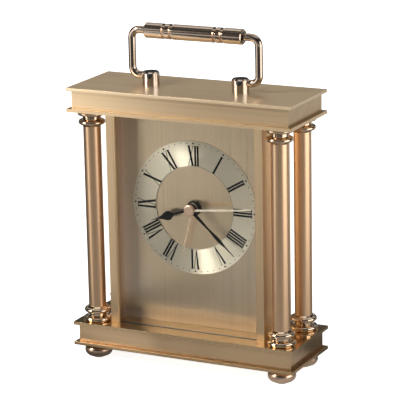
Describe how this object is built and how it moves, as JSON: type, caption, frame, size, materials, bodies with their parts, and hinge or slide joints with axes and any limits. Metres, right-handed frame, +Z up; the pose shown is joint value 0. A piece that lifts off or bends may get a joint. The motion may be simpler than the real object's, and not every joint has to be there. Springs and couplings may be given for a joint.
{
  "type": "carriage clock",
  "caption": "Gold-coloured table clock with corner columns, swinging carrying handle, glazed front, Roman-numeral dial, alarm and a hinged rear door over a quartz movement.",
  "frame": {"origin": "centre of the footprint, on the surface the feet stand on", "axes": "+Z up, the dial faces -Y, +X is to the right seen from the front"},
  "size_m": [0.14, 0.051, 0.1982],
  "materials": {
    "plate_gold": "satin, brushed along the width",
    "block_gold": "brushed along the width, gold coloured",
    "polished_gold": "mirror polished",
    "column_gold": "fine satin polish",
    "case_gold": "satin front, polished sides",
    "glass": "clear",
    "spacer": "satin brown",
    "dial": "brushed upright, lacquered",
    "chapter": "spun in circles, lacquered",
    "hand_black": "gloss",
    "hand_gold": "polished",
    "black_plastic": "moulded",
    "white_plastic": "moulded",
    "red_plastic": "moulded",
    "board": "lacquered",
    "steel": "plain",
    "magnet": "sintered",
    "copper": "enamelled wire",
    "cell": "plain sleeve",
    "rubber": "moulded",
    "felt": "felt"
  },
  "bodies": {
    "clock_body": {"foot_pads": "felt", "feet": "polished_gold", "base_lower_plate": "plate_gold", "base_block": "block_gold", "base_upper_plate": "plate_gold", "column_bases": "polished_gold", "column_shafts": "column_gold", "column_capitals": "polished_gold", "tie_rods": "steel", "top_lower_plate": "plate_gold", "top_block": "block_gold", "top_upper_plate": "plate_gold", "handle_posts": "polished_gold", "post_screws": "steel", "case_side_left": "case_gold", "case_side_right": "case_gold", "front_glass": "glass", "glass_spacers": "spacer", "dial_plate": "dial", "chapter_ring": "chapter", "dial_brackets": "steel", "hand_nut": "black_plastic", "cushion_washer": "rubber", "movement_case": "black_plastic", "movement_cover": "black_plastic", "train_bridge": "white_plastic", "coil": "copper", "stator": "steel", "circuit_board": "board", "buzzer": "black_plastic", "battery": "cell", "battery_contacts": "steel", "door_magnet": "magnet"},
    "handle": {"handle_bail": "polished_gold", "handle_grip": "polished_gold"},
    "rear_door": {"rear_door": "case_gold", "door_pivots": "steel", "door_knob": "polished_gold"},
    "minute_arbor": {"cannon_pinion": "white_plastic", "minute_hand": "hand_black"},
    "minute_wheel": {"minute_wheel": "white_plastic", "time_set_knob": "white_plastic"},
    "hour_arbor": {"hour_wheel": "white_plastic", "hour_hand": "hand_black"},
    "second_arbor": {"second_wheel": "white_plastic", "second_hand": "hand_gold"},
    "third_wheel": {"third_wheel": "white_plastic"},
    "centre_wheel": {"centre_wheel": "hand_gold"},
    "intermediate_wheel": {"intermediate_wheel": "white_plastic"},
    "rotor": {"rotor": "magnet"},
    "alarm_arbor": {"alarm_wheel": "white_plastic", "alarm_hand": "hand_gold"},
    "alarm_setter": {"alarm_set_shaft": "white_plastic", "alarm_set_knob": "red_plastic"},
    "alarm_switch": {"alarm_switch": "white_plastic"}
  },
  "joints": [
    {"name": "handle_swing", "type": "hinge", "parent": "clock_body", "child": "handle", "pos_m": [0, 0, 0.1677], "axis": [1, 0, 0], "range_deg": [-90, 90]},
    {"name": "door_swing", "type": "hinge", "parent": "clock_body", "child": "rear_door", "pos_m": [-0.0454, 0.019, 0.0934], "axis": [0, 0, 1], "range_deg": [0, 100]},
    {"name": "minute_turn", "type": "hinge", "parent": "clock_body", "child": "minute_arbor", "pos_m": [0, 0, 0.0934], "axis": [0, 1, 0], "continuous": true},
    {"name": "minute_wheel_turn", "type": "hinge", "parent": "clock_body", "child": "minute_wheel", "pos_m": [0, 0, 0.0838], "axis": [0, 1, 0], "continuous": true},
    {"name": "hour_turn", "type": "hinge", "parent": "clock_body", "child": "hour_arbor", "pos_m": [0, 0, 0.0934], "axis": [0, 1, 0], "continuous": true},
    {"name": "second_turn", "type": "hinge", "parent": "clock_body", "child": "second_arbor", "pos_m": [0, 0, 0.0934], "axis": [0, 1, 0], "continuous": true},
    {"name": "third_turn", "type": "hinge", "parent": "clock_body", "child": "third_wheel", "pos_m": [0.00779, 0, 0.0979], "axis": [0, 1, 0], "continuous": true},
    {"name": "centre_turn", "type": "hinge", "parent": "clock_body", "child": "centre_wheel", "pos_m": [0, 0, 0.0934], "axis": [0, 1, 0], "continuous": true},
    {"name": "intermediate_turn", "type": "hinge", "parent": "clock_body", "child": "intermediate_wheel", "pos_m": [0, 0, 0.1], "axis": [0, 1, 0], "continuous": true},
    {"name": "rotor_turn", "type": "hinge", "parent": "clock_body", "child": "rotor", "pos_m": [-0.00396, 0, 0.10396], "axis": [0, 1, 0], "continuous": true},
    {"name": "alarm_turn", "type": "hinge", "parent": "clock_body", "child": "alarm_arbor", "pos_m": [0, 0, 0.0934], "axis": [0, 1, 0], "continuous": true},
    {"name": "alarm_set_turn", "type": "hinge", "parent": "clock_body", "child": "alarm_setter", "pos_m": [-0.00818, 0, 0.09813], "axis": [0, 1, 0], "continuous": true},
    {"name": "alarm_switch_slide", "type": "slide", "parent": "clock_body", "child": "alarm_switch", "axis": [1, 0, 0], "range_m": [0, 0.0036]}
  ],
  "couplings": [
    {"joint": "minute_wheel_turn", "follows": "minute_turn", "ratio": -0.33333},
    {"joint": "hour_turn", "follows": "minute_turn", "ratio": 0.083333},
    {"joint": "third_turn", "follows": "second_turn", "ratio": -0.13333},
    {"joint": "centre_turn", "follows": "second_turn", "ratio": 0.016667},
    {"joint": "intermediate_turn", "follows": "second_turn", "ratio": -5},
    {"joint": "rotor_turn", "follows": "second_turn", "ratio": 30},
    {"joint": "alarm_set_turn", "follows": "alarm_turn", "ratio": -2.8571}
  ]
}
